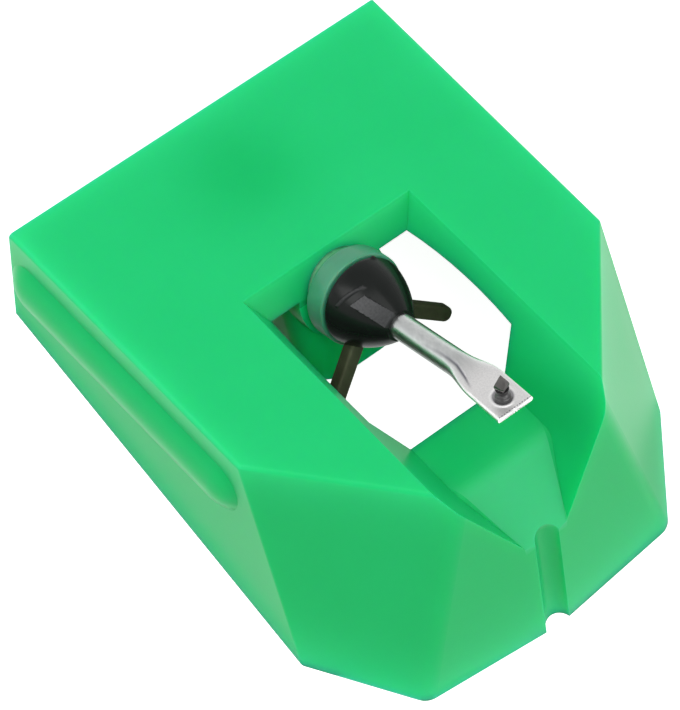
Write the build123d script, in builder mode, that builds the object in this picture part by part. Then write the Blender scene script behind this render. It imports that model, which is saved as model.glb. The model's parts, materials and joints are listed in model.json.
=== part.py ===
"""Removable stylus unit of a moving-magnet pickup cartridge, lying tip up on its open rim.

X is across the record groove, -Y is the nose and +Z is up. The origin is under the middle of
the unit, on the surface that its rim rests on. All lengths are in millimetres.
"""
import os
from math import cos, radians, sin, sqrt, tan

from build123d import *

os.makedirs("parts", exist_ok=True)

# Housing: a thin moulded tray with a sloping plate, drafted walls and a faceted nose
overall_length = 23.26
plate_slope = 13.43
back_height = 4.83
plate_width = 17.6
shoulder_forward = 13.56
side_turn, side_draft = 0.85, 2.2
nose_turn, nose_draft = 40.4, 15.9
front_turn, front_draft = 4.9, 8.5
wall = 1.2
plate_thickness = 1.3
edge_round = 0.2
nose_round = 0.9

# Window: a funnel through the plate that runs out through the nose as a V
window_back = 8.0
window_width = 7.96
window_lean = 32.2
arch_rise, arch_overrun = 0.45, 1.45
crest_depth = 4.85
ramp_drop, ramp_run = 2.07, 2.5
shelf_length = 2.7
crest_round, ramp_round = 0.5, 1.0
trough_wall = 1.0
trough_back_lean = 27.0

# Nose groove that marks the stylus for cueing
groove_width, groove_depth = 1.15, 0.45

# Half-round grip ribs on the side walls
rib_height, rib_proud = 2.4, 0.5
rib_back_drop, rib_front_drop = 2.35, 2.43
rib_back_inset, rib_front_inset = 1.25, 1.25

# Suspension: its axis rises from the pivot to the stylus, in the plane of symmetry
pivot_forward, pivot_drop = 8.93, 1.706
axis_rise = 20.15
boss_width = 4.2
boss_back = 4.9
boss_depth = 5.4
boss_round = 1.2
collar_diameter, collar_proud = 4.0, 0.25
fit_gap = 0.02

sleeve_diameter, sleeve_bore, sleeve_length = 3.0, 1.5, 4.4
flange_diameter, flange_thickness = 3.2, 0.3

swing_gap = 0.1
damper_overhang, damper_bore, damper_length = 0.1, 0.6, 1.1

carrier_diameter, carrier_length = 3.54, 2.33
carrier_rim, carrier_bulge = 0.1, 0.1
nose_land = 0.06
skirt_cover, skirt_overlap = 0.08, 13.0
key_angle, key_inset, key_proud = 35.0, 0.4, 0.05
key_width, key_bar_length, key_bar_width = 0.6, 1.2, 0.2

magnet_reach, magnet_root = 4.05, 0.75
magnet_width, magnet_thickness, magnet_round = 0.5, 0.55, 0.22
magnet_angle, carrier_turn = 45.0, 5.0
magnet_back_land = 0.02

wire_diameter = 0.12
wire_hole = 0.5
anchor_length = 1.2

# Cantilever: a tube pressed flat at its end, where the stylus stands
tube_diameter, tube_bore = 1.02, 0.78
tube_socket = 1.0
neck_forward = 15.4
stylus_forward, stylus_foot = 18.12, 1.5
blade_rise = 8.0
blade_behind, blade_ahead = 1.05, 0.68
blade_thickness, blade_width = 0.26, 1.62
shank_diameter, shank_height = 0.5, 0.5
shank_collar_diameter, shank_collar_height = 0.68, 0.16
tip_diameter, tip_land, tip_height, tip_radius = 0.56, 0.22, 0.7, 0.02

# Working planes
slope = radians(plate_slope)
plate = Plane(
    origin=(0, overall_length / 2, back_height), x_dir=(1, 0, 0), z_dir=(0, sin(slope), cos(slope))
)


def at(across, forward, up):
    """Point across the plate, forward of its back edge and above its face."""
    return plate.from_local_coords(Vector(across, -forward, up))


def wall_face(across, forward, turn, draft):
    """Outer face of a wall through a point of the plate's edge.

    turn swings its outward normal from the side towards the nose, and draft flares it downwards.
    """
    t, d = radians(turn), radians(draft)
    normal = Vector(cos(d) * cos(t), -cos(d) * sin(t), sin(d))
    return Plane(origin=at(across, forward, 0), z_dir=plate.from_local_coords(normal) - plate.origin)


def mirrored(face):
    """The same face on the left side."""
    o, z = face.origin, face.z_dir
    return Plane(origin=(-o.X, o.Y, o.Z), z_dir=(-z.X, z.Y, z.Z))


def lies_in(face):
    """Test for the edges that lie in a face."""
    return lambda edge: abs(face.to_local_coords(edge.center()).Z) < fit_gap


def seam(block, first, second):
    """Edges of a block where two of its faces meet."""
    return block.edges().filter_by(lies_in(first)).filter_by(lies_in(second))


side_view = Plane(origin=plate.origin, x_dir=-plate.y_dir, z_dir=(-1, 0, 0))


def square_to(point, angle):
    """Plane square to a line that runs forward through point and rises by angle from the plate.

    Its x is across the plate and its y is up.
    """
    r = radians(angle)
    ahead = plate.from_local_coords(Vector(0, -cos(r), sin(r))) - plate.origin
    return Plane(origin=point, x_dir=(1, 0, 0), z_dir=ahead)


ridge_length = overall_length + tan(radians(front_turn)) * groove_width / 2
foot_forward = ridge_length * cos(slope) - back_height * sin(slope)
foot_depth = ridge_length * sin(slope) + back_height * cos(slope)
front_top = foot_forward - tan(radians(front_draft)) * foot_depth
shoulder_across = plate_width / 2 - tan(radians(side_turn)) * shoulder_forward

back_face = wall_face(0, 0, -90, 0)
right_faces = [
    wall_face(plate_width / 2, 0, side_turn, side_draft),
    wall_face(shoulder_across, shoulder_forward, nose_turn, nose_draft),
    wall_face(0, front_top, 90 - front_turn, front_draft),
]
left_faces = [mirrored(face) for face in right_faces]
wall_faces = right_faces + left_faces + [back_face]
nose_line = square_to(at(0, front_top, 0), front_draft)

rise = radians(axis_rise)
suspension = square_to(at(0, pivot_forward, -pivot_drop), axis_rise)
axis_line = Axis(suspension.origin, suspension.z_dir)
# Half-section along the suspension axis: x is the radius and y runs towards the stylus
half_section = Plane(
    origin=suspension.origin, x_dir=(1, 0, 0), z_dir=-suspension.y_dir
)

stock = 4 * overall_length
lean = tan(radians(window_lean))
half_window = window_width / 2
crest_forward = front_top + tan(radians(front_draft)) * crest_depth
shelf_front = crest_forward - ramp_run
shelf_back = shelf_front - shelf_length
shelf_depth = crest_depth - ramp_drop

# Envelope: the block inside all the outer faces, with soft edges and the two grip ribs
with BuildPart() as envelope:
    Box(stock, stock, stock)
    for face in wall_faces + [plate]:
        split(bisect_by=face, keep=Keep.BOTTOM)
    split(bisect_by=Plane.XY, keep=Keep.TOP)
    for faces in (right_faces, left_faces):
        fillet(seam(envelope, faces[1], faces[2]), radius=nose_round)
    soft_edges = envelope.edges().filter_by(lies_in(plate)) - seam(envelope, plate, back_face)
    for faces in (right_faces, left_faces):
        soft_edges = soft_edges + seam(envelope, faces[0], faces[1])
    fillet(soft_edges, radius=edge_round)
    rib_radius = (rib_height**2 / 4 + rib_proud**2) / (2 * rib_proud)
    rib_inset = rib_radius - rib_proud
    for hand in (1, -1):
        ends = []
        for forward, drop in (
            (rib_back_inset, rib_back_drop),
            (shoulder_forward - rib_front_inset, rib_front_drop),
        ):
            wall_across = plate_width / 2 - tan(radians(side_turn)) * forward
            wall_across += tan(radians(side_draft)) * drop
            ends.append(at(hand * (wall_across - rib_inset), forward, -drop))
        back_end, front_end = ends
        run = front_end - back_end
        with BuildSketch(Plane(origin=back_end, z_dir=run)):
            Circle(rib_radius)
        extrude(amount=run.length)
        with Locations(back_end, front_end):
            Sphere(rib_radius)
    split(bisect_by=back_face, keep=Keep.BOTTOM)

# Hollow underside, open at the rim
with BuildPart() as hollow:
    Box(stock, stock, stock)
    for face in wall_faces:
        split(bisect_by=face.offset(-wall), keep=Keep.BOTTOM)
    split(bisect_by=plate.offset(-plate_thickness), keep=Keep.BOTTOM)
    # Arched ceiling, which thins the sides of the window at their middle
    arch_chord = shelf_back + arch_overrun - window_back
    arch_middle = window_back + arch_chord / 2
    arch_radius = (arch_chord**2 / 4 + arch_rise**2) / (2 * arch_rise)
    with BuildSketch(side_view):
        with Locations((arch_middle, arch_rise - plate_thickness - arch_radius)):
            Circle(arch_radius)
        with Locations((arch_middle, -plate_thickness)):
            Rectangle(arch_chord, 3 * arch_rise, mode=Mode.INTERSECT)
    extrude(amount=half_window + wall, both=True)


def funnel_section(widening):
    """V section of the funnel, wider by the same amount on each side, cut above the plate."""
    head = plate_thickness
    foot = (half_window - wall / 4) / lean
    Polygon(
        (-half_window - widening - lean * head, head),
        (half_window + widening + lean * head, head),
        (half_window + widening - lean * foot, -foot),
        (-half_window - widening + lean * foot, -foot),
        align=None,
    )


# Funnel: the space of the window, closed below the nose by a shelf and a ramp
with BuildPart() as funnel:
    with BuildSketch(square_to(plate.origin, 0)):
        funnel_section(0)
    extrude(amount=stock / 2)
    back_bevel = Plane(
        origin=at(0, window_back, 0),
        z_dir=plate.from_local_coords(Vector(0, 1, -lean)) - plate.origin,
    )
    split(bisect_by=back_bevel, keep=Keep.BOTTOM)
    # Ground that stays: shelf, ramp and the front face, with the ramp rolled over into the face
    ground_depth = stock / 2
    with BuildSketch(side_view) as ground:
        Polygon(
            (shelf_back, -shelf_depth),
            (shelf_front, -shelf_depth),
            (crest_forward, -crest_depth),
            (crest_forward + tan(radians(front_draft)) * (ground_depth - crest_depth), -ground_depth),
            (shelf_back, -ground_depth),
            align=None,
        )
        fillet(ground.vertices().sort_by_distance((crest_forward, -crest_depth))[0], radius=crest_round)
        fillet(ground.vertices().sort_by_distance((shelf_front, -shelf_depth))[0], radius=ramp_round)
    extrude(amount=stock / 2, both=True, mode=Mode.SUBTRACT)

# Trough: the walls that carry the funnel on through the nose
with BuildPart() as trough:
    with BuildSketch(square_to(plate.origin, 0)):
        funnel_section(trough_wall / cos(radians(window_lean)))
    extrude(amount=stock / 2)
    back_lean = radians(trough_back_lean)
    trough_end = Plane(
        origin=at(0, shelf_back, -shelf_depth),
        z_dir=plate.from_local_coords(Vector(0, cos(back_lean), -sin(back_lean))) - plate.origin,
    )
    split(bisect_by=trough_end, keep=Keep.BOTTOM)
    # Space below the floor of the trough
    ramp_rate = ramp_drop / ramp_run
    under_depth = shelf_depth + trough_wall
    under_back = shelf_back + tan(back_lean) * trough_wall
    with BuildSketch(side_view):
        Polygon(
            (under_back, -under_depth),
            (shelf_front, -under_depth),
            (stock / 2, -under_depth - ramp_rate * (stock / 2 - shelf_front)),
            (stock / 2, -stock),
            (under_back, -stock),
            align=None,
        )
    extrude(amount=stock / 2, both=True, mode=Mode.SUBTRACT)
    add(envelope.part, mode=Mode.INTERSECT)

# Boss: a post behind the window with a round collar for the suspension, both square to its axis
with BuildPart() as boss:
    post_front = suspension.offset(-collar_proud)
    post_slant = tan(rise)
    post_forward = pivot_forward - collar_proud / cos(rise)
    root = plate_thickness / 2
    with BuildSketch(side_view):
        Polygon(
            (post_forward - post_slant * (pivot_drop - root), -root),
            (post_forward + post_slant * (boss_depth - pivot_drop), -boss_depth),
            (boss_back, -boss_depth),
            (boss_back, -root),
            align=None,
        )
    extrude(amount=boss_width / 2, both=True)
    front_edges = boss.edges().filter_by(lies_in(post_front))
    fillet(front_edges.filter_by(lambda edge: abs(edge.center().X) > wall), radius=boss_round)
    with BuildSketch(suspension):
        Circle(collar_diameter / 2)
    extrude(amount=-collar_proud - boss_round)
    split(bisect_by=plate, keep=Keep.BOTTOM)

with BuildPart() as stylus_housing:
    add(envelope.part)
    add(hollow.part, mode=Mode.SUBTRACT)
    add(trough.part)
    add(boss.part)
    add(funnel.part, mode=Mode.SUBTRACT)
    # Stepped bore for the suspension sleeve, right through the boss
    bore_length = (pivot_forward - boss_back) / cos(rise) + sleeve_diameter / 2
    with BuildSketch(suspension):
        Circle(sleeve_diameter / 2 + fit_gap)
    extrude(amount=-bore_length, mode=Mode.SUBTRACT)
    with BuildSketch(suspension):
        Circle(flange_diameter / 2 + fit_gap)
    extrude(amount=-flange_thickness - fit_gap, mode=Mode.SUBTRACT)
    # Cueing groove down the front face: a round-nosed cut
    groove_radius = (groove_width**2 / 4 + groove_depth**2) / (2 * groove_depth)
    groove_top = Plane(
        origin=nose_line.from_local_coords(Vector(0, -crest_depth, groove_radius - groove_depth)),
        z_dir=-nose_line.y_dir,
    )
    with BuildSketch(groove_top):
        Circle(groove_radius)
    extrude(amount=stock / 2, mode=Mode.SUBTRACT)
    with Locations(groove_top.origin):
        Sphere(groove_radius, mode=Mode.SUBTRACT)
stylus_housing.part.label = "stylus_housing"
export_step(stylus_housing.part, "parts/stylus_housing.step")

# Sleeve in the boss, with a flange that the damper bears on
with BuildPart() as suspension_sleeve:
    with BuildSketch(half_section):
        Polygon(
            (sleeve_bore / 2, 0),
            (flange_diameter / 2, 0),
            (flange_diameter / 2, -flange_thickness),
            (sleeve_diameter / 2, -flange_thickness),
            (sleeve_diameter / 2, -sleeve_length),
            (sleeve_bore / 2, -sleeve_length),
            align=None,
        )
    revolve(axis=axis_line)
suspension_sleeve.part.label = "suspension_sleeve"
export_step(suspension_sleeve.part, "parts/suspension_sleeve.step")

# Plug that grips the back end of the tension wire
with BuildPart() as wire_anchor:
    with BuildSketch(suspension.offset(-sleeve_length)):
        Circle(sleeve_bore / 2 - fit_gap)
        Circle(wire_diameter / 2 + fit_gap, mode=Mode.SUBTRACT)
    extrude(amount=anchor_length)
wire_anchor.part.label = "wire_anchor"
export_step(wire_anchor.part, "parts/wire_anchor.step")

# Places along the axis, counted from the pivot
damper_back = swing_gap
damper_front = damper_back + damper_length
carrier_back = damper_front + swing_gap
carrier_front = carrier_back + carrier_length
socket_back = carrier_front - tube_socket

with BuildPart() as tension_wire:
    with BuildSketch(suspension.offset(-sleeve_length)):
        Circle(wire_diameter / 2)
    extrude(amount=sleeve_length + socket_back - swing_gap)
tension_wire.part.label = "tension_wire"
export_step(tension_wire.part, "parts/tension_wire.step")

# Elastomer ring, its front edge rounded about the pivot so that the carrier can rock on it
with BuildPart() as damper_ring:
    damper_radius = carrier_diameter / 2 + damper_overhang
    dome_radius = sqrt(damper_front**2 + (carrier_diameter / 2) ** 2)
    dome_start = sqrt(dome_radius**2 - damper_radius**2)
    back_break = swing_gap
    with BuildSketch(half_section):
        with BuildLine():
            Polyline(
                (carrier_diameter / 2, damper_front),
                (damper_bore / 2, damper_front),
                (damper_bore / 2, damper_back),
                (damper_radius - back_break, damper_back),
                (damper_radius, damper_back + back_break),
                (damper_radius, dome_start),
            )
            RadiusArc(
                (damper_radius, dome_start), (carrier_diameter / 2, damper_front), -dome_radius
            )
        make_face()
    revolve(axis=axis_line)
damper_ring.part.label = "damper_ring"
export_step(damper_ring.part, "parts/damper_ring.step")

# Bar magnets, one for each groove wall, set in the carrier as a V that is turned a little
magnets = {}
magnet_back = carrier_back + magnet_back_land
for name, hand in (("magnet_left", -1), ("magnet_right", 1)):
    with BuildPart() as magnet:
        aim = carrier_turn - 90 + hand * magnet_angle
        with BuildSketch(suspension.offset(magnet_back)) as bar:
            with Locations((magnet_root * cos(radians(aim)), magnet_root * sin(radians(aim)))):
                Rectangle(
                    magnet_reach - magnet_root,
                    magnet_width,
                    rotation=aim,
                    align=(Align.MIN, Align.CENTER),
                )
            tip_corners = bar.vertices().sort_by_distance((0, 0, 0))[-2:]
            fillet(tip_corners, radius=magnet_round)
        extrude(amount=magnet_thickness)
    magnet.part.label = name
    export_step(magnet.part, f"parts/{name}.step")
    magnets[name] = magnet.part

# Carrier: a bulging cone that joins the magnets to the cantilever, with a raised key on its flank
rim_front = carrier_back + carrier_rim
cones = []
for proud in (0, key_proud):
    with BuildPart() as cone:
        rim_radius = carrier_diameter / 2 + proud
        nose_edge = (tube_diameter / 2 + nose_land + proud, carrier_front)
        with BuildSketch(half_section):
            with BuildLine():
                Polyline(
                    nose_edge,
                    (0, carrier_front),
                    (0, carrier_back),
                    (rim_radius, carrier_back),
                    (rim_radius, rim_front),
                )
                SagittaArc((rim_radius, rim_front), nose_edge, -carrier_bulge)
            make_face()
        revolve(axis=axis_line)
    cones.append(cone.part)
carrier_cone, key_cone = cones

with BuildPart() as carrier_key:
    add(key_cone)
    key_turn = radians(key_angle)
    key_out = suspension.from_local_coords(Vector(-sin(key_turn), cos(key_turn), 0)) - suspension.origin
    key_view = Plane(
        origin=suspension.origin, x_dir=suspension.z_dir.cross(key_out), z_dir=key_out
    )
    # T shape in the view along the key's outward direction
    key_back = rim_front + key_inset
    with BuildSketch(key_view):
        with Locations((0, key_back)):
            Rectangle(key_width, carrier_length, align=(Align.CENTER, Align.MIN))
            Rectangle(key_bar_length, key_bar_width, align=(Align.CENTER, Align.MIN))
    extrude(amount=carrier_diameter, mode=Mode.INTERSECT)

with BuildPart() as magnet_carrier:
    add(carrier_cone)
    add(carrier_key.part)
    # Skirt round the roots of the magnets
    skirt_front = magnet_back + magnet_thickness + skirt_cover
    skirt_turn = magnet_angle + skirt_overlap
    with BuildSketch(suspension.offset(carrier_back)):
        Circle(carrier_diameter / 2)
        with Locations(Rotation(0, 0, carrier_turn - 90)):
            Polygon(
                (0, 0),
                (carrier_diameter * cos(radians(skirt_turn)), -carrier_diameter * sin(radians(skirt_turn))),
                (carrier_diameter, -carrier_diameter * sin(radians(skirt_turn))),
                (carrier_diameter, carrier_diameter * sin(radians(skirt_turn))),
                (carrier_diameter * cos(radians(skirt_turn)), carrier_diameter * sin(radians(skirt_turn))),
                align=None,
                mode=Mode.INTERSECT,
            )
    extrude(amount=skirt_front - carrier_back)
    # Seats for the magnets, the tube and the wire
    for bar in magnets.values():
        add(bar, mode=Mode.SUBTRACT)
    with BuildSketch(suspension.offset(socket_back)):
        Circle(tube_diameter / 2 + fit_gap)
    extrude(amount=2 * tube_socket, mode=Mode.SUBTRACT)
    with BuildSketch(suspension):
        Circle(wire_hole / 2)
    extrude(amount=carrier_front, mode=Mode.SUBTRACT)
magnet_carrier.part.label = "magnet_carrier"
export_step(magnet_carrier.part, "parts/magnet_carrier.step")

# Foot of the stylus on the blade: x is across, y is along the stylus
stylus_view = square_to(at(0, stylus_forward, stylus_foot), blade_rise)
stylus_line = Axis(stylus_view.origin, stylus_view.y_dir)

# Cantilever: round in the carrier, then pressed into a blade that the stylus stands on
neck = (neck_forward - pivot_forward) / cos(rise)
blade_view = stylus_view.offset(-blade_behind)
blade_middle = Vector(0, -blade_thickness / 2, 0)
with BuildPart() as cantilever:
    with BuildSketch(suspension.offset(socket_back)):
        Circle(tube_diameter / 2)
    extrude(amount=neck - socket_back)
    # The tube's end in four arcs, one for each side of the blade's section
    with BuildSketch(suspension.offset(neck)):
        with BuildLine():
            for start in (-45, 45, 135, 225):
                CenterArc((0, 0), tube_diameter / 2, start, 90)
        make_face()
    with BuildSketch(blade_view):
        with Locations(blade_middle):
            SlotOverall(blade_width, blade_thickness)
    loft()
    with BuildSketch(blade_view):
        with Locations(blade_middle):
            SlotOverall(blade_width, blade_thickness)
    extrude(amount=blade_behind + blade_ahead)
    with BuildSketch(suspension.offset(socket_back)):
        Circle(tube_bore / 2)
    extrude(amount=neck - socket_back, mode=Mode.SUBTRACT)
cantilever.part.label = "cantilever"
export_step(cantilever.part, "parts/cantilever.step")

# Stylus: a metal shank on the blade with a ground diamond point
with BuildPart() as stylus_shank:
    collar_bevel = (shank_collar_diameter - shank_diameter) / 2
    with BuildSketch(stylus_view):
        Polygon(
            (0, 0),
            (shank_collar_diameter / 2, 0),
            (shank_collar_diameter / 2, shank_collar_height),
            (shank_diameter / 2, shank_collar_height + collar_bevel),
            (shank_diameter / 2, shank_height),
            (0, shank_height),
            align=None,
        )
    revolve(axis=stylus_line)
stylus_shank.part.label = "stylus_shank"
export_step(stylus_shank.part, "parts/stylus_shank.step")

with BuildPart() as diamond_tip:
    tip_top = shank_height + tip_height
    with BuildSketch(stylus_view):
        with BuildLine():
            Polyline(
                (0, tip_top),
                (0, shank_height),
                (tip_diameter / 2, shank_height),
                (tip_diameter / 2, shank_height + tip_land),
                (tip_radius, tip_top - tip_radius),
            )
            RadiusArc((tip_radius, tip_top - tip_radius), (0, tip_top), -tip_radius)
        make_face()
    revolve(axis=stylus_line)
diamond_tip.part.label = "diamond_tip"
export_step(diamond_tip.part, "parts/diamond_tip.step")
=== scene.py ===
# %% [markdown]
# A replacement stylus unit, dressed and photographed
#
# The unit is a green moulded tray that slips on to a pickup cartridge. In its funnel window hangs the
# moving system: an elastomer ring, a black cone with two bar magnets, and a bright tube whose end is
# pressed flat to carry the stylus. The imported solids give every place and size, so this lesson only
# adds finishes, the finest shapes, a camera and light. All lengths below are in metres, and a length
# that a maker would read in millimetres is written as a number times MM.

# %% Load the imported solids
import json
import math

import bpy
import numpy as np
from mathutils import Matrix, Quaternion, Vector


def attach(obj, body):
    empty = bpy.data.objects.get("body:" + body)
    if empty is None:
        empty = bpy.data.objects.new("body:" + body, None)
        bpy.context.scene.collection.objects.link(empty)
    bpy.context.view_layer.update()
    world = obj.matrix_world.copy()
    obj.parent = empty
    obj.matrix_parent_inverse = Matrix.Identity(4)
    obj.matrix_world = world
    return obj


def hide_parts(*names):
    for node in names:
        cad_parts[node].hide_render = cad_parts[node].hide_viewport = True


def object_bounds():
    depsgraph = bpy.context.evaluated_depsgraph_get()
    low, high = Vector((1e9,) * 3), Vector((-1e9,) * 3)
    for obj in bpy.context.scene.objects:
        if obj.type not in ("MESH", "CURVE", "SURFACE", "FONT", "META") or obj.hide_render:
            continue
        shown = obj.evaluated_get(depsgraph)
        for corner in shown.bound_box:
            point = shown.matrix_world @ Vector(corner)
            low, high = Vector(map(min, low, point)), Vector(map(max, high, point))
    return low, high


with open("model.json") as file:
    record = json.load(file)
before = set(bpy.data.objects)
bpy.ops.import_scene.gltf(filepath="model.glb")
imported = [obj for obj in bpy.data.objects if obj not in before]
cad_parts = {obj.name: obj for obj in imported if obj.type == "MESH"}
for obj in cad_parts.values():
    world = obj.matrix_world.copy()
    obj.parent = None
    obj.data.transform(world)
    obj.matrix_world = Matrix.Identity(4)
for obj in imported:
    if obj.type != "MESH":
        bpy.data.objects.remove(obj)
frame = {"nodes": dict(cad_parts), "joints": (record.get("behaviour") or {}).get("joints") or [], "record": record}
cad_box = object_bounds()
MM = 0.001
print("nodes:", sorted(frame["nodes"]))
print("solids reach from", [round(v / MM, 2) for v in cad_box[0]], "to", [round(v / MM, 2) for v in cad_box[1]], "mm")

# %% [markdown]
# The camera
#
# Small parts are photographed with a long lens from far off, which keeps parallel edges nearly
# parallel. The place, the aim and the roll below were solved from the corners of the plate. A lens
# length is easier to trust than an angle: it is the picture's scale in pixels times the sensor width
# over the picture width.

# %% Set the camera
picture_width = 680
pixels_per_radian = 4165
camera_place = Vector((-54.25, -37.28, 145.82)) * MM
camera_aim = Vector((-1.73, 0.52, 5.0)) * MM
camera_roll = math.radians(17.26)

camera = bpy.data.objects.new("camera", bpy.data.cameras.new("camera"))
bpy.context.collection.objects.link(camera)
camera.data.sensor_fit = "HORIZONTAL"
camera.data.sensor_width = 36
camera.data.lens = pixels_per_radian * camera.data.sensor_width / picture_width
camera.data.clip_start = 1 * MM
camera.location = camera_place
camera.rotation_mode = "QUATERNION"
camera.rotation_quaternion = (camera_aim - camera_place).to_track_quat("-Z", "Y") @ Quaternion(
    (0, 0, 1), camera_roll
)
bpy.context.scene.camera = camera
bpy.context.scene.view_settings.view_transform = "Standard"
print("lens", round(camera.data.lens, 1), "mm at", round((camera_aim - camera_place).length / MM), "mm")

# %% [markdown]
# Shader arithmetic
#
# A finish is a formula: this much noise, times that mask, mixed into a colour. Blender stores such a
# formula as a graph of nodes. The two small classes below let the formula be written as ordinary
# Python. Value wraps one number socket, and each operator on it adds a Math node. Finish owns one
# material, and its node method adds any other kind of node.

# %% Value and Finish


class Value:
    """A number that varies over a surface. Arithmetic on it adds Math nodes."""

    def __init__(self, finish, socket):
        self.finish = finish
        self.socket = socket

    def math(self, operation, left, right):
        return self.finish.node("Math", {"operation": operation}, (left, right)).value()

    def __add__(self, other):
        return self.math("ADD", self, other)

    def __sub__(self, other):
        return self.math("SUBTRACT", self, other)

    def __rsub__(self, other):
        return self.math("SUBTRACT", other, self)

    def __mul__(self, other):
        return self.math("MULTIPLY", self, other)

    def __pow__(self, other):
        return self.math("POWER", self, other)

    def __rpow__(self, other):
        return self.math("POWER", other, self)

    def __abs__(self):
        return self.math("ABSOLUTE", self, 0.0)

    def __lt__(self, other):
        return self.math("LESS_THAN", self, other)

    def __gt__(self, other):
        return self.math("GREATER_THAN", self, other)

    __radd__ = __add__
    __rmul__ = __mul__


class Node:
    """One node of a finish, with its outputs by name."""

    def __init__(self, finish, node):
        self.finish = finish
        self.node = node

    def value(self, name=0):
        return Value(self.finish, self.node.outputs[name])

    def link(self, name=0):
        return self.node.outputs[name]


class Finish:
    """A procedural material on one Principled surface."""

    def __init__(self, name, tree=None, **sockets):
        if tree is None:
            self.material = bpy.data.materials.new(name)
            self.material.use_nodes = True
            tree = self.material.node_tree
        self.tree = tree
        self.tree.nodes.clear()
        if sockets:
            self.surface = self.node("BsdfPrincipled", {}, sockets)
            self.node("OutputMaterial", {}, {"Surface": self.surface.link()})

    def node(self, kind, settings=None, inputs=None):
        """Add a shader node: its settings first, then the values or links of its sockets."""
        node = self.tree.nodes.new("ShaderNode" + kind)
        for name, setting in (settings or {}).items():
            if name == "stops":
                for index, (place, colour) in enumerate(setting):
                    stops = node.color_ramp.elements
                    stop = stops[index] if index < 2 else stops.new(place)
                    stop.position, stop.color = place, colour
            else:
                setattr(node, name, setting)
        pairs = inputs.items() if isinstance(inputs, dict) else enumerate(inputs or ())
        for name, given in pairs:
            self.feed(node.inputs[name], given)
        return Node(self, node)

    def feed(self, socket, given):
        """Link a socket to a Value or an output, or set it to a constant."""
        if isinstance(given, Value):
            given = given.socket
        if isinstance(given, bpy.types.NodeSocket):
            self.tree.links.new(given, socket)
        else:
            socket.default_value = given

    def set(self, **sockets):
        for name, given in sockets.items():
            self.feed(self.surface.node.inputs[name.replace("_", " ")], given)

    def place(self):
        return self.node("TexCoord").link("Object")

    def noise(self, scale, detail=2.0, roughness=0.5, where=None):
        """Noise between 0 and 1, with its scale in waves per metre."""
        inputs = {"Vector": where or self.place(), "Scale": scale, "Detail": detail, "Roughness": roughness}
        return self.node("TexNoise", {}, inputs).value()

    def split(self, vector):
        """The three numbers of a vector."""
        parts = self.node("SeparateXYZ", {}, (vector,))
        return [parts.value(axis) for axis in "XYZ"]

    def tint(self, mask, low, high):
        """Colour low where the mask is 0 and high where it is 1."""
        inputs = {"Factor": mask, 6: low, 7: high}
        return self.node("Mix", {"data_type": "RGBA"}, inputs).link(2)

    def bump(self, height, strength, distance):
        inputs = {"Strength": strength, "Distance": distance, "Height": height}
        return self.node("Bump", {}, inputs).link()


print("shader arithmetic is ready")

# %% [markdown]
# Floor, backdrop and light
#
# The unit lies on a white table. A white floor lit like the rest would come out pale grey, so the
# floor also glows, but only for rays that look at it: Light Path tells the shader which kind of ray
# asks. Straight from the camera the glow is even. In a reflection it is dim under the tray, where the
# table is in shadow, and half as bright under the open window. The room is white at eye level and
# greyer overhead, which gives bright metal something to show.

# %% Lay the floor
floor_half = 600 * MM
floor_white = (0.76, 0.76, 0.76, 1)
floor_glow = 0.94
tray_across = (cad_box[1][0] - cad_box[0][0]) / 2
tray_along = (cad_box[1][1] - cad_box[0][1]) / 2
window_across, window_along = 3.2 * MM, 6 * MM

floor_mesh = bpy.data.meshes.new("floor")
corners = floor_half * np.array([(-1, -1, 0), (1, -1, 0), (1, 1, 0), (-1, 1, 0)], dtype=float)
floor_mesh.from_pydata(corners.tolist(), [], [(0, 1, 2, 3)])
floor = bpy.data.objects.new("floor", floor_mesh)
bpy.context.collection.objects.link(floor)

table = Finish("white_table")
across, along, _ = table.split(table.place())
under_tray = (abs(across) < tray_across) * (abs(along) < tray_along)
path = table.node("LightPath")
looking = path.value("Is Camera Ray") + path.value("Is Transmission Ray")
under_window = (abs(across) < window_across) * (abs(along) < window_along)
mirrored = path.value("Is Glossy Ray") * (1 - 0.9 * under_tray + 0.5 * under_window)
glow = table.node("Emission", {}, {"Color": (1, 1, 1, 1), "Strength": (looking + mirrored) * floor_glow})
matt = table.node("BsdfDiffuse", {}, {"Color": floor_white})
table.node("OutputMaterial", {}, {"Surface": table.node("AddShader", {}, (glow.link(), matt.link())).link()})
floor_mesh.materials.append(table.material)
print("floor glow stops", round(tray_across / MM, 1), "mm and", round(tray_along / MM, 1), "mm from the middle")

# %% Light the room
ambient = 0.37
eye_level, overhead = 1.0, 0.45

world = bpy.data.worlds.new("studio")
world.use_nodes = True
bpy.context.scene.world = world
room = Finish("studio", world.node_tree)
_, _, height = room.split(room.node("TexCoord").link("Generated"))
path = room.node("LightPath")
looking = path.value("Is Camera Ray") + path.value("Is Transmission Ray")
mirrored = path.value("Is Glossy Ray")
shown = eye_level - abs(height) * (eye_level - overhead)
level = looking + mirrored * shown + (1 - looking - mirrored) * ambient
wash = room.node("Background", {}, {"Color": (1, 1, 1, 1), "Strength": level})
room.node("OutputWorld", {}, {"Surface": wash.link()})


def lamp(name, place, aim, side, watts):
    """A square soft box at place, turned to aim, in millimetres."""
    data = bpy.data.lights.new(name, "AREA")
    data.size, data.energy = side * MM, watts
    soft_box = bpy.data.objects.new(name, data)
    bpy.context.collection.objects.link(soft_box)
    soft_box.location = Vector(place) * MM
    soft_box.rotation_euler = (Vector(aim) - Vector(place)).to_track_quat("-Z", "Y").to_euler()


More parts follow.
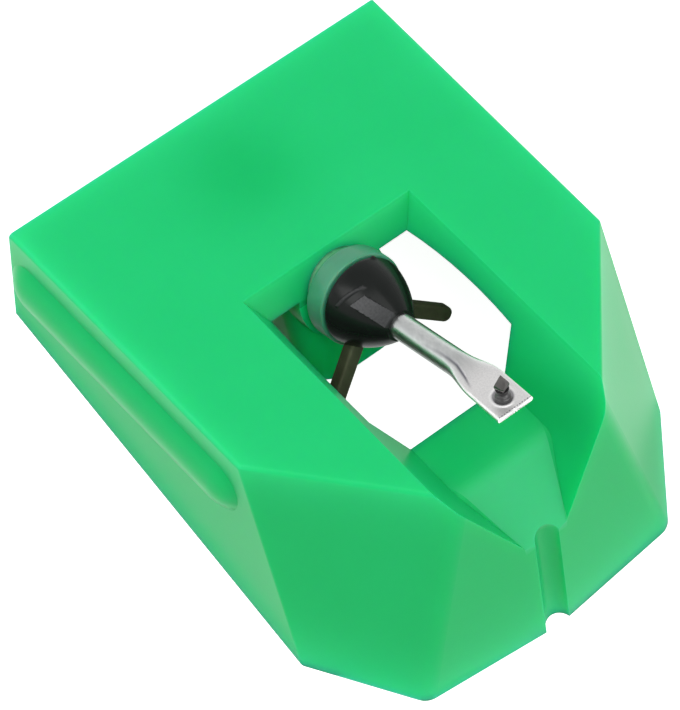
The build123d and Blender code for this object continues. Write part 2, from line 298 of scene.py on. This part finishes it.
lamp("key", (-145, 95, 180), (0, 0, 5), 140, 0.19)
lamp("overhead", (0, 10, 220), (0, 0, 5), 160, 0.142)
lamp("front", (-10, -100, 190), (0, 0, 5), 140, 0.08)
lamp("fill", (90, -180, 80), (0, 0, 5), 120, 0.075)
print("ambient", ambient, "and four soft boxes")

# %% [markdown]
# Green moulded plastic
#
# The tray is pressed from a dyed, slightly cloudy plastic. Light goes a millimetre or so into it:
# that is subsurface scattering. Where the plastic is thin, light also comes through from the other
# side, so rims and edges look paler than the middle of a face. That glow is painted light: a mask
# lightens the green there. It is near 1 at an edge and fades inwards as e to the power of minus the
# distance. Two masks a and b join as 1 - (1 - a)(1 - b), which is near 1 where either is. The
# distances are measured from planes: the table, the plate, and the sides and back of the plate, which
# the imported solid gives. Behind the window the plate is over the dark hollow of the tray, and there a
# painted shade makes the green deeper. The boss in the window is lit through the walls round it, and
# its purer, brighter green is painted light. The ramp in the nose came matt from the mould and is
# rougher, and its paler colour is a painted sheen of white light.

# %% Measure the plate


def points_of(node):
    """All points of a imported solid, one row each, without doubles."""
    mesh = frame["nodes"][node].data
    flat = np.empty(3 * len(mesh.vertices), dtype=np.float32)
    mesh.vertices.foreach_get("co", flat)
    return np.unique(flat.reshape(-1, 3).astype(float).round(8), axis=0)


plate_slope = math.radians(13.43)
plate_up = np.array((0, math.sin(plate_slope), math.cos(plate_slope)))
tray_points = points_of("stylus_housing")
plate_level = (tray_points @ plate_up).max()
plate_points = tray_points[tray_points @ plate_up > plate_level - 0.02 * MM]
plate_half = plate_points[:, 0].max()
plate_back = plate_points[:, 1].max()

ramp_slope = math.radians(26.19)
ramp_up = np.array((0, -math.sin(ramp_slope), math.cos(ramp_slope)))
ramp_level, ramp_reach = 8.707 * MM, 0.15 * MM
ramp_front, ramp_back = -9.7 * MM, -6.0 * MM
ramp_half, ramp_taper = 0.98 * MM, 0.36
print("plate is", round(2 * plate_half / MM, 2), "mm wide")

# %% Mix the green plastic
# The first two greens are the ends of a painted glow: pale at thin rims and edges, deep in the middle of faces and
# under the painted shade over the hollow. The third is painted light on the boss, and the fourth a painted sheen on
# the ramp.
plastic_painted_glow = (0.035, 0.80, 0.30, 1)
plastic_without_glow = (0.006, 0.545, 0.148, 1)
plastic_lit = (0.008, 0.95, 0.22, 1)
plastic_painted_sheen = (0.055, 0.60, 0.24, 1)
plate_share, hollow_shade_share = 0.36, 0.32
edge_reach, rim_reach = 0.45 * MM, 1.0 * MM
hollow_x, hollow_y, hollow_reach = -0.3 * MM, 8.3 * MM, 2.3 * MM
boss_half, boss_below, boss_middle, boss_reach = 2.4 * MM, 1.4 * MM, 3.5 * MM, 3.5 * MM

housing_finish = Finish(
    "green_moulded_plastic",
    **{
        "IOR": 1.5,
        "Specular IOR Level": 0.12,
        "Subsurface Weight": 0.7,
        "Subsurface Radius": (0.2, 1.0, 0.5),
        "Subsurface Scale": 1.3 * MM,
    },
)


def fade(distance, reach):
    """Mask of 1 at distance 0 that falls as e to the power of minus distance over reach."""
    return math.e ** (abs(distance) * (-1 / reach))


def either(first, second):
    """Mask that is near 1 where one of two masks is."""
    return 1 - (1 - first) * (1 - second)


across, along, height = housing_finish.split(housing_finish.place())
below_plate = plate_level - (along * plate_up[1] + height * plate_up[2])
# Painted glow along the sides and back of the plate
outline = either(fade(plate_half - abs(across), edge_reach), fade(plate_back - along, edge_reach))
on_plate = below_plate < 0.1 * MM
# Painted shade over the hollow behind the window, which deepens the green
hollow_shade = fade((across - hollow_x) ** 2 + (along - hollow_y) ** 2, hollow_reach**2)
clouds = housing_finish.noise(260, detail=3)
grain = housing_finish.noise(9000, detail=2)
plate_glow_and_shade = plate_share - hollow_shade_share * hollow_shade + 0.4 * outline
# Painted glow on the walls, near the table and near the plate
wall_glow = either(fade(height, rim_reach), 0.5 * fade(below_plate, 2 * edge_reach))
# Mask of the green: painted glow at edges and rims, painted shade over the hollow, and a random cloudy tone
glow_shade_and_clouds = on_plate * plate_glow_and_shade + (1 - on_plate) * wall_glow + 0.16 * (clouds - 0.5)
# Painted light on the boss in the window, which is lit through the walls round it
boss_painted_light = (abs(across) < boss_half) * (below_plate > boss_below) * (abs(along - boss_middle) < boss_reach)
# The ramp: its skin is rougher, and its colour takes a painted sheen, a paler green
from_ramp = ramp_level - (along * ramp_up[1] + height * ramp_up[2])
in_trough = abs(across) < ramp_half + ramp_taper * (along - ramp_front)
ramp_matt_and_sheen = fade(from_ramp, ramp_reach) * in_trough * (along > ramp_front) * (along < ramp_back)
# The green with its painted glow and painted shade
glow_and_shade_colour = housing_finish.tint(glow_shade_and_clouds, plastic_without_glow, plastic_painted_glow)
# The green with painted light on the boss
mixed_colour = housing_finish.tint(boss_painted_light, glow_and_shade_colour, plastic_lit)
housing_finish.set(
    Base_Color=housing_finish.tint(ramp_matt_and_sheen, mixed_colour, plastic_painted_sheen),
    Roughness=0.28 + 0.08 * clouds + 0.2 * ramp_matt_and_sheen,
    Normal=housing_finish.bump(grain, 0.12, 0.02 * MM),
)
print("housing finish:", housing_finish.material.name)

# %% [markdown]
# The small finishes
#
# Each small piece is a different stuff. The ring is a clear rubber, the cone is black plastic, the
# magnets are a ground dark alloy, the tube is bright drawn aluminium with lines along it, and the
# stylus is a dark shank with a ground stone.

# %% Mix the small finishes
finishes = {"housing_plastic": housing_finish.material}

rubber = Finish("clear_damper_rubber", **{"IOR": 1.45, "Subsurface Weight": 0.6, "Subsurface Scale": 0.5 * MM})
haze = rubber.noise(700, detail=2)
rubber.set(
    Base_Color=rubber.tint(haze, (0.03, 0.25, 0.13, 1), (0.10, 0.40, 0.24, 1)),
    Roughness=0.25 + 0.2 * haze,
)
finishes["damper_rubber"] = rubber.material

black = Finish("black_carrier_plastic", **{"Specular IOR Level": 0.18})
flow = black.noise(900, detail=3)
# The raised key is painted lighter: a painted highlight, broken up by fine noise
highlight_breakup = black.noise(12000, detail=3)
painted_key_highlight = black.node("Attribute", {"attribute_name": "painted_key_highlight"}).value("Fac")
mixed_colour = black.tint(flow, (0.005, 0.007, 0.006, 1), (0.012, 0.014, 0.013, 1))
black.set(
    Base_Color=black.tint(painted_key_highlight * (0.25 + 0.6 * highlight_breakup), mixed_colour, (0.10, 0.10, 0.105, 1)),
    Roughness=0.18 + 0.14 * flow,
    Normal=black.bump(flow, 0.15, 0.03 * MM),
)
finishes["carrier_plastic"] = black.material

alloy = Finish("ground_magnet_alloy", **{"Specular IOR Level": 0.4})
scale_marks = alloy.noise(2600, detail=4)
alloy.set(
    Base_Color=alloy.tint(scale_marks, (0.042, 0.050, 0.025, 1), (0.13, 0.14, 0.08, 1)),
    Metallic=0.35 + 0.3 * scale_marks,
    Roughness=0.35 + 0.25 * scale_marks,
    Normal=alloy.bump(scale_marks, 0.25, 0.03 * MM),
)
finishes["magnet"] = alloy.material


def metal(name, dull, bright, rough, waves):
    """Metal with drawn lines: noise stretched along Y."""
    finish = Finish(name, Metallic=1.0)
    stretched = finish.node("Mapping", {}, {"Vector": finish.place(), "Scale": (1, 0.08, 1)}).link()
    lines = finish.noise(waves, detail=3, where=stretched)
    finish.set(
        Base_Color=finish.tint(lines, dull, bright),
        Roughness=rough + 0.2 * lines,
        Normal=finish.bump(lines, 0.15, 0.01 * MM),
    )
    return finish.material


# The cantilever's skin carries two marks: how far it was pressed flat, and where it is painted dark,
# with painted shade along the fold and between the teeth of the cut end, and a dark ring round the stylus
aluminium = Finish("drawn_aluminium", Metallic=1.0)
drawn_way = aluminium.node("Mapping", {}, {"Vector": aluminium.place(), "Scale": (1, 0.08, 1)}).link()
drawn_lines = aluminium.noise(6000, detail=3, where=drawn_way)
satin = aluminium.noise(16000, detail=3)
pressed = aluminium.node("Attribute", {"attribute_name": "pressed"}).value("Fac")
painted_shade_and_ring = aluminium.node("Attribute", {"attribute_name": "crease_and_shade"}).value("Fac")
drawn_colour = aluminium.tint(drawn_lines, (0.38, 0.40, 0.40, 1), (0.66, 0.67, 0.66, 1))
satin_colour = aluminium.tint(satin, (0.66, 0.65, 0.65, 1), (0.96, 0.95, 0.94, 1))
clean_colour = aluminium.tint(pressed, drawn_colour, satin_colour)
aluminium.set(
    # Painted shade darkens the fold and the cut teeth, and a dark ring lies round the foot of the stylus
    Base_Color=aluminium.tint(painted_shade_and_ring * 0.85, clean_colour, (0.09, 0.09, 0.12, 1)),
    Roughness=0.24 + 0.12 * drawn_lines + 0.1 * pressed,
    Normal=aluminium.bump(satin * pressed + 0.4 * drawn_lines, 0.25, 0.01 * MM),
)
finishes["cantilever_metal"] = aluminium.material
finishes["sleeve_metal"] = metal("turned_sleeve", (0.5, 0.5, 0.5, 1), (0.75, 0.75, 0.74, 1), 0.25, 4000)
finishes["shank_metal"] = metal("dark_shank", (0.05, 0.05, 0.05, 1), (0.16, 0.16, 0.16, 1), 0.25, 5000)
finishes["wire_steel"] = metal("tension_steel", (0.4, 0.4, 0.4, 1), (0.65, 0.65, 0.65, 1), 0.25, 6000)
finishes["anchor_metal"] = metal("turned_brass", (0.5, 0.36, 0.13, 1), (0.75, 0.58, 0.26, 1), 0.25, 4000)
finishes["diamond"] = metal("ground_stone", (0.03, 0.03, 0.03, 1), (0.12, 0.115, 0.11, 1), 0.12, 5000)
print(len(finishes), "finishes")

# %% [markdown]
# A ruler along the moving system
#
# Everything that moves sits on one axis through the crossing of the two hinges, so that crossing is
# the natural place to measure from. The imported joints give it, with the direction that is up for the
# tube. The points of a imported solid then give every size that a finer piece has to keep.

# %% Measure the moving system
hinge = {joint["name"]: joint for joint in frame["joints"]}["cantilever_lateral"]
pivot = np.array(hinge["pos_m"])
side = np.array((1.0, 0.0, 0.0))
tube_up = np.array(hinge["axis"]) / np.linalg.norm(hinge["axis"])
tube_ahead = np.cross(side, tube_up)

shank_points = points_of("stylus_shank")
stone_points = points_of("diamond_tip")
stylus_up = stone_points.mean(axis=0) - shank_points.mean(axis=0)
stylus_up[0] = 0
stylus_up /= np.linalg.norm(stylus_up)
blade_ahead = np.cross(side, stylus_up)
shank_heights = shank_points @ stylus_up
foot = shank_points.mean(axis=0)
foot[0] = 0
foot += (shank_heights.min() - foot @ stylus_up) * stylus_up
print("stylus leans", round(math.degrees(math.atan2(stylus_up[1], stylus_up[2])), 2), "degrees")
print("foot of the stylus at", (foot / MM).round(3), "mm")

# %% [markdown]
# Skins
#
# Tubes, bars and turned pieces are all rings of points joined into a skin. With the rings in one
# array, the faces are index arithmetic: each point joins the next one round its ring and the same one
# on the next ring.

# %% Join rings into a skin


def skin(name, rings, slot, body, node, sharp=40, loop=False):
    """Closed mesh over rings, an array of shape (rings, points, 3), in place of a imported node.

    Point j of ring i joins point j + 1 and ring i + 1, and the last point joins the first. In a loop the
    last ring joins the first ring too; otherwise a fan from the middle closes each end. Rings run
    counterclockwise about their direction of travel. Edges that turn by more than sharp degrees stay
    crisp.
    """
    rows, points, _ = rings.shape
    here = np.arange(rows * points).reshape(rows, points)
    beside = np.roll(here, -1, axis=1)
    quads = np.stack([here, beside, np.roll(beside, -1, axis=0), np.roll(here, -1, axis=0)], axis=-1)
    middle = np.full(points, rows * points)
    back_fan = np.stack([middle, beside[0], here[0]], axis=-1)
    front_fan = np.stack([middle + 1, here[-1], beside[-1]], axis=-1)
    if loop:
        faces = quads.reshape(-1, 4).tolist()
        places = rings.reshape(-1, 3)
    else:
        faces = quads[:-1].reshape(-1, 4).tolist() + back_fan.tolist() + front_fan.tolist()
        places = np.concatenate([rings.reshape(-1, 3), rings[[0, -1]].mean(axis=1)])
    mesh = bpy.data.meshes.new(name)
    mesh.from_pydata(places.tolist(), [], faces)
    mesh.polygons.foreach_set("use_smooth", np.ones(len(mesh.polygons), dtype=bool))
    mesh.set_sharp_from_angle(angle=math.radians(sharp))
    mesh.materials.append(finishes[slot])
    piece = bpy.data.objects.new(name, mesh)
    bpy.context.collection.objects.link(piece)
    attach(piece, body)
    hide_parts(node)
    print(name, "has", sum(len(face) - 2 for face in faces), "triangles")
    return piece


def mark(piece, name, values):
    """Lay a number on each point of a skin for its finish to read. A fan's middle takes its ring's."""
    values = values.ravel()
    layer = piece.data.attributes.new(name, "FLOAT", "POINT")
    layer.data.foreach_set("value", np.append(values, values[[0, -1]]).astype(np.float32))


def smooth(value):
    """Ease from 0 to 1: zero below 0, one above 1, and 3 t squared minus 2 t cubed between."""
    t = np.clip(value, 0, 1)
    return t * t * (3 - 2 * t)


# %% [markdown]
# The cantilever
#
# The real one is a drawn aluminium tube whose end was pressed flat, punched for the stylus and cut
# off. The round section eases into a flat one: each point of the circle moves straight to its place
# on the outline of the blade. Three small marks of the making follow. A fold runs where the metal
# gave way, a low rim stands round the punched hole, and the cut end is ragged.

# %% Press the tube
around = 160
turn = np.linspace(0, 2 * np.pi, around, endpoint=False)

tube_points = points_of("cantilever")
tube_along = (tube_points - pivot) @ tube_ahead
tube_back = tube_along.min()
back_ring = tube_points[tube_along < tube_back + 0.01 * MM] - pivot
tube_radius = np.linalg.norm(back_ring - np.outer(back_ring @ tube_ahead, tube_ahead), axis=1).max()
blade_along = (tube_points - foot) @ blade_ahead
blade_front = blade_along.max()
blade_half = np.abs(tube_points[:, 0]).max()
end_heights = (tube_points[blade_along > blade_front - 0.01 * MM] - foot) @ stylus_up
blade_deep = end_heights.max() - end_heights.min()


def blade_outline(half, deep, corner):
    """Outline of the blade's section at equal steps: a rectangle with round corners.

    Four quarter circles sit at the corners. The length along the outline is counted from the middle of
    the right side, and points are read off at equal shares of it.
    """
    quarter = np.linspace(0, np.pi / 2, 7)
    angles = np.concatenate([quarter, quarter + np.pi / 2, quarter + np.pi, quarter + 1.5 * np.pi])
    out_x = np.repeat([1, -1, -1, 1], 7) * (half - corner) + corner * np.cos(angles)
    out_y = np.repeat([1, 1, -1, -1], 7) * (deep / 2 - corner) + corner * np.sin(angles)
    out_x = np.concatenate([[half], out_x, [half]])
    out_y = np.concatenate([[0], out_y, [0]])
    length = np.concatenate([[0], np.cumsum(np.hypot(np.diff(out_x), np.diff(out_y)))])
    stops = np.linspace(0, length[-1], around, endpoint=False)
    return np.interp(stops, length, out_x), np.interp(stops, length, out_y)


neck = 6.9 * MM
blade_back = -1.0 * MM
fold_depth, fold_width = 0.03 * MM, 0.055 * MM
fold_stops = MM * np.array((5.2, 6.6, 7.5, 8.1, 8.7))
fold_places = MM * np.array((-0.36, -0.26, -0.26, -0.40, -0.60))
fold_strengths = np.array((0.0, 0.5, 1.0, 1.0, 0.0))
rim_radius, rim_height, rim_width = 0.42 * MM, 0.03 * MM, 0.07 * MM
seat_radius, seat_width = 0.36 * MM, 0.05 * MM
rag_depth, rag_pitch = 0.03 * MM, 0.12 * MM

# Stations: straight tube, then a bend from the neck to the blade, then the blade
tube_stops = np.linspace(tube_back, neck, 40)
bend = np.linspace(0, 1, 42)[1:-1]
blade_stops = np.linspace(blade_back, blade_front, 60)
neck_middle = pivot + neck * tube_ahead
blade_middle = foot - blade_deep / 2 * stylus_up + blade_back * blade_ahead
gap = np.linalg.norm(blade_middle - neck_middle)
h00, h10 = 2 * bend**3 - 3 * bend**2 + 1, bend**3 - 2 * bend**2 + bend
h01, h11 = 3 * bend**2 - 2 * bend**3, bend**3 - bend**2
bend_middles = (
    np.outer(h00, neck_middle) + np.outer(h10, gap * tube_ahead)
    + np.outer(h01, blade_middle) + np.outer(h11, gap * blade_ahead)
)
middles = np.concatenate([
    pivot + np.outer(tube_stops, tube_ahead),
    bend_middles,
    blade_middle + np.outer(blade_stops - blade_back, blade_ahead),
])
press = np.concatenate([np.zeros(len(tube_stops)), smooth(bend), np.ones(len(blade_stops))])[:, None]
travel = np.concatenate([tube_stops, neck + bend * gap, neck + gap + blade_stops - blade_back])[:, None]
ups = (1 - press) * tube_up + press * stylus_up
ups /= np.linalg.norm(ups, axis=1)[:, None]
aheads = np.cross(side, ups)

flat_x, flat_y = blade_outline(blade_half, blade_deep, 0.45 * blade_deep)
top = smooth(np.sin(turn) * 4)
under = smooth(-np.sin(turn) * 2)
late = np.concatenate([np.zeros(len(tube_stops)), smooth(1.5 * bend - 0.5), np.ones(len(blade_stops))])[:, None]
thin_press = press + (late - press) * under
section_x = (1 - press) * tube_radius * np.cos(turn) + press * flat_x
section_y = (1 - thin_press) * tube_radius * np.sin(turn) + thin_press * flat_y
fold_x = np.interp(travel, fold_stops, fold_places)
fold = np.interp(travel, fold_stops, fold_strengths)
# The fold dents the top of the section, and the same mask is painted dark later as shade
crease_and_shade = fold * top * np.exp(-(((section_x - fold_x) / fold_width) ** 2))
section_y = section_y - fold_depth * crease_and_shade
# Rim of the punched hole, by distance from the foot of the stylus
ahead_of_foot = np.concatenate([np.full(len(tube_stops) + len(bend), -1.0), blade_stops])[:, None]
away = np.hypot(section_x, ahead_of_foot)
section_y = section_y + top * rim_height * np.exp(-(((away - rim_radius) / rim_width) ** 2))
# Ragged cut: teeth that step back by half a pitch across the end, each by its own depth
tooth = np.floor((flat_x + blade_half) / (rag_pitch / 2)).astype(int)
depths = np.random.default_rng(7).uniform(0.4, 1, tooth.max() + 1)
rag = -rag_depth * (tooth % 2) * depths[tooth]
near_end = np.clip((ahead_of_foot - blade_front) / (0.05 * MM) + 1, 0, 1)

rings = (
    middles[:, None, :]
    + section_x[..., None] * side
    + section_y[..., None] * ups[:, None, :]
    + (near_end * rag)[..., None] * aheads[:, None, :]
)
cantilever = skin("pressed_cantilever", rings, "cantilever_metal", "armature", "cantilever", sharp=50)
# Painted shade between the teeth of the cut end and along the fold, and a dark ring round the foot of the stylus
teeth_shade = (near_end > 0) * (tooth % 2)
mark(cantilever, "pressed", np.repeat(press, around))
seat = 0.8 * top * np.exp(-(((away - seat_radius) / seat_width) ** 2))
mark(cantilever, "crease_and_shade", np.maximum(np.maximum(crease_and_shade, teeth_shade), seat))

# %% [markdown]
# The stylus
#
# The shank is a turned pin with a stepped collar where it was set into the blade. The stone on it is
# ground with flat sides, so its section is a square: at angle t from a corner, the edge of a square is
# nearer than its corner by cos 45 over cos (45 - t).

# %% Turn the shank and grind the stone
shank_long = shank_heights.max() - shank_heights.min()
shank_wide = np.abs(shank_points[:, 0]).max()


def turned(profile, shape=1.0):
    """Rings about the stylus: each (radius, height) of the profile swept round, times shape."""
    radius, height = np.array(profile).T
    round_x = radius[:, None] * np.cos(turn) * shape
    round_y = -radius[:, None] * np.sin(turn) * shape
    return (
        foot
        + round_x[..., None] * side
        + round_y[..., None] * blade_ahead
        + height[:, None, None] * stylus_up
    )


shank_profile = np.array([
    (0.78, -0.10), (0.87, 0.00), (0.90, 0.05), (0.90, 0.14), (0.84, 0.20), (0.78, 0.24), (0.76, 0.34),
    (0.66, 0.42), (0.60, 0.50), (0.62, 0.62), (0.70, 0.80), (0.78, 1.00),
]) * (shank_wide, shank_long)
skin("turned_shank", turned(shank_profile), "shank_metal", "armature", "stylus_shank", sharp=30)

stone_heights = (stone_points - foot) @ stylus_up
stone_low, stone_high = stone_heights.min(), stone_heights.max()
stone_wide = 1.05 * np.abs(stone_points[:, 0]).max()
sides = 4
corner_turn = (turn + math.radians(25)) % (2 * np.pi / sides)
facets = 0.2 + 0.8 * math.cos(np.pi / sides) / np.cos(corner_turn - np.pi / sides)
stone_profile = np.array([(0.90, 0.0), (0.98, 0.12), (1.0, 0.20), (0.98, 0.27), (0.90, 0.35), (0.06, 0.985), (0.0, 1.0)])
stone_profile = stone_profile * (stone_wide, stone_high - stone_low) + (0, stone_low)
skin("ground_stone", turned(stone_profile, facets), "diamond", "armature", "diamond_tip", sharp=20)

# %% [markdown]
# The magnets
#
# Each is a short bar with a rounded end and edges that were tumbled smooth. The section is a
# superellipse, x and y raised to a power of six, which is a rectangle with soft corners. Towards the
# end the half-width follows a quarter circle.

# %% Tumble the magnets
soft = 2 / 6


def bar_rings(node):
    """Rings along a magnet, by its packed length, width, thickness and direction."""
    local = points_of(node) - pivot
    plan = np.stack([local @ side, local @ tube_up], axis=1)
    aim = plan.mean(axis=0) / np.linalg.norm(plan.mean(axis=0))
    cross = np.array((-aim[1], aim[0]))
    reach, spread, depth = plan @ aim, plan @ cross, local @ tube_ahead
    half, thick = 0.62 * (spread.max() - spread.min()), 0.5 * (depth.max() - depth.min())
    tip = np.linspace(0, np.pi / 2, 14)
    stations = np.concatenate([np.linspace(reach.min(), reach.max() - half, 24), reach.max() - half * (1 - np.sin(tip[1:]))])
    taper = np.concatenate([np.ones(24), np.maximum(np.cos(tip[1:]), 0.05)])
    wave_x = np.sign(np.cos(turn)) * np.abs(np.cos(turn)) ** soft
    wave_y = np.sign(np.sin(turn)) * np.abs(np.sin(turn)) ** soft
    long_way = aim[0] * side + aim[1] * tube_up
    wide_way = cross[0] * side + cross[1] * tube_up
    squeeze = 0.55 + 0.45 * np.sqrt(taper)
    return (
        pivot
        + stations[:, None, None] * long_way
        + (half * taper)[:, None, None] * wave_x[:, None] * wide_way
        + ((depth.max() + depth.min()) / 2 + thick * squeeze[:, None] * wave_y)[..., None] * tube_ahead
    )


for node in ("magnet_left", "magnet_right"):
    skin("tumbled_" + node, bar_rings(node), "magnet", "armature", node, sharp=50)

# %% [markdown]
# The carrier and its ring
#
# Both are turned shapes about the axis of the tube: a radius for every angle and every step along a
# profile. The moulder's details are added to that radius. A raised key with a flat top runs down the
# cone, with a thin bar across its head. A lip of glossy plastic closes round the roots of the magnets,
# and the gate left a nub on the rim.

# %% Turn the carrier and the ring
carrier_turn = np.linspace(0, 2 * np.pi, 224, endpoint=False)


def about_axis(radius, along_axis):
    """Rings about the tube's axis from a radius per (step, angle) and a distance ahead per step."""
    return (
        pivot
        + (radius * np.cos(carrier_turn))[..., None] * side
        + (radius * np.sin(carrier_turn))[..., None] * tube_up
        + np.asarray(along_axis)[:, None, None] * tube_ahead
    )


def spread_of(node):
    """Distances ahead of the pivot and away from the axis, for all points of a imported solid."""
    local = points_of(node) - pivot
    ahead = local @ tube_ahead
    return ahead, np.linalg.norm(local - np.outer(ahead, tube_ahead), axis=1)


carrier_ahead, carrier_away = spread_of("magnet_carrier")
carrier_back, carrier_front = carrier_ahead.min(), carrier_ahead.max()
carrier_radius = carrier_away.max()
nose_radius = carrier_away[carrier_ahead > carrier_front - 0.01 * MM].max()
wire_end = spread_of("tension_wire")[0].max()
hole_radius = carrier_away[carrier_ahead < carrier_back + 0.01 * MM].min()
rim_thick, bulge = 0.1 * MM, 0.16 * MM
key_turn, key_half, key_high, key_skew = math.radians(125), 0.3 * MM, 0.06 * MM, 0.45
key_head, bar_place, bar_half, bar_long = 1.13 * MM, 0.75 * MM, 0.06 * MM, 0.6 * MM
lip_front = 0.68 * MM
lip_first, lip_last = math.radians(-142), math.radians(-28)
nub_turn, nub_size = math.radians(60), 0.1 * MM

# Profile: the wire's hole, the back, the rim, the cone and the nose
cone_steps = np.linspace(0, 1, 100)
cone_ahead = carrier_back + rim_thick + (carrier_front - carrier_back - rim_thick) * cone_steps
cone_radius = carrier_radius + (nose_radius - carrier_radius) * cone_steps + 4 * bulge * cone_steps * (1 - cone_steps)
hole_end = max(wire_end, carrier_back) + 0.1 * MM
profile_ahead = np.concatenate([
    [hole_end, carrier_back, carrier_back, carrier_back + 0.02 * MM], cone_ahead, [carrier_front, carrier_front - 0.2 * MM],
])
profile_radius = np.concatenate([
    [hole_radius, hole_radius, carrier_radius - 0.04 * MM, carrier_radius], cone_radius,
    [0.95 * tube_radius, 0.95 * tube_radius],
])
on_cone = np.concatenate([np.zeros(3), np.ones(len(cone_ahead) + 1), np.zeros(2)])[:, None]
past_back = (profile_ahead - carrier_back)[:, None]
radius = np.repeat(profile_radius[:, None], len(carrier_turn), axis=1)
# Key: aside is the distance round the cone from the key's middle
key_angle = (carrier_turn - key_turn + np.pi) % (2 * np.pi) - np.pi
aside = radius * key_angle
skewed = past_back + key_skew * aside
edge = 0.03 * MM
stem = smooth((key_half - np.abs(aside)) / edge + 0.5) * smooth((skewed - key_head) / edge + 0.5)
bar = smooth((bar_half - np.abs(skewed - bar_place)) / edge + 0.5) * smooth((bar_long - np.abs(aside)) / edge + 0.5)
flat_top = (radius + key_high) / np.cos(np.clip(key_angle, -0.8, 0.8)) - radius
radius = radius + on_cone * (stem * np.minimum(flat_top, 2.5 * key_high) + bar * 0.6 * key_high)
# Where the key and its bar stand, the carrier takes a painted highlight
key_highlight_mask = on_cone * np.maximum(stem, 0.5 * bar)
# Lip: the rim's radius carried forward between the magnets, rounded off at its front
signed = (carrier_turn + np.pi) % (2 * np.pi) - np.pi
lip_turn = smooth((signed - lip_first) / 0.15) * smooth((lip_last - signed) / 0.15)
lip_round = np.sqrt(np.clip(1 - np.clip(past_back / lip_front, 0, 1) ** 6, 0, 1))
lip_radius = cone_radius.min() + (carrier_radius - 0.02 * MM - cone_radius.min()) * lip_round * lip_turn
radius = np.where(on_cone > 0, np.maximum(radius, lip_radius), radius)
# Nub of the gate on the rim
nub_away = np.hypot((carrier_turn - nub_turn) * carrier_radius, past_back - 0.05 * MM)
radius = radius + on_cone * 0.8 * nub_size * np.exp(-((nub_away / nub_size) ** 2))
carrier_rings = about_axis(radius, profile_ahead)
carrier = skin("moulded_carrier", carrier_rings, "carrier_plastic", "armature", "magnet_carrier", sharp=35)
mark(carrier, "painted_key_highlight", key_highlight_mask)

ring_ahead, ring_away = spread_of("damper_ring")
ring_back, ring_front, ring_radius, bore_radius = ring_ahead.min(), ring_ahead.max(), ring_away.max(), ring_away.min()
back_round, front_round = 0.28 * MM, 0.08 * MM
bow = np.linspace(0, np.pi / 2, 16)
ring_profile = np.concatenate([
    np.stack([np.full(8, ring_back), np.linspace(bore_radius, ring_radius - back_round, 8, endpoint=False)], axis=1),
    np.stack([ring_back + back_round * (1 - np.cos(bow)), ring_radius - back_round * (1 - np.sin(bow))], axis=1),
    np.stack([ring_front - front_round * (1 - np.sin(bow)), ring_radius - front_round * (1 - np.cos(bow))], axis=1),
    np.stack([np.full(8, ring_front), np.linspace(ring_radius - front_round, bore_radius, 9)[1:]], axis=1),
])
ring_rings = about_axis(np.repeat(ring_profile[:, 1:], len(carrier_turn), axis=1), ring_profile[:, 0])
skin("moulded_ring", ring_rings, "damper_rubber", "damper", "damper_ring", sharp=50, loop=True)

# %% [markdown]
# Dress the solids
#
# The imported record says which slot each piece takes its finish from, so the finishes can be handed out
# in one pass. Only the material changes: a solid's mesh stays as it was packed.

# %% Give each solid its finish
for subpart in frame["record"]["subparts"]:
    node = frame["nodes"][subpart["node"]]
    node.data.materials.clear()
    node.data.materials.append(finishes[subpart["material_slot"]])
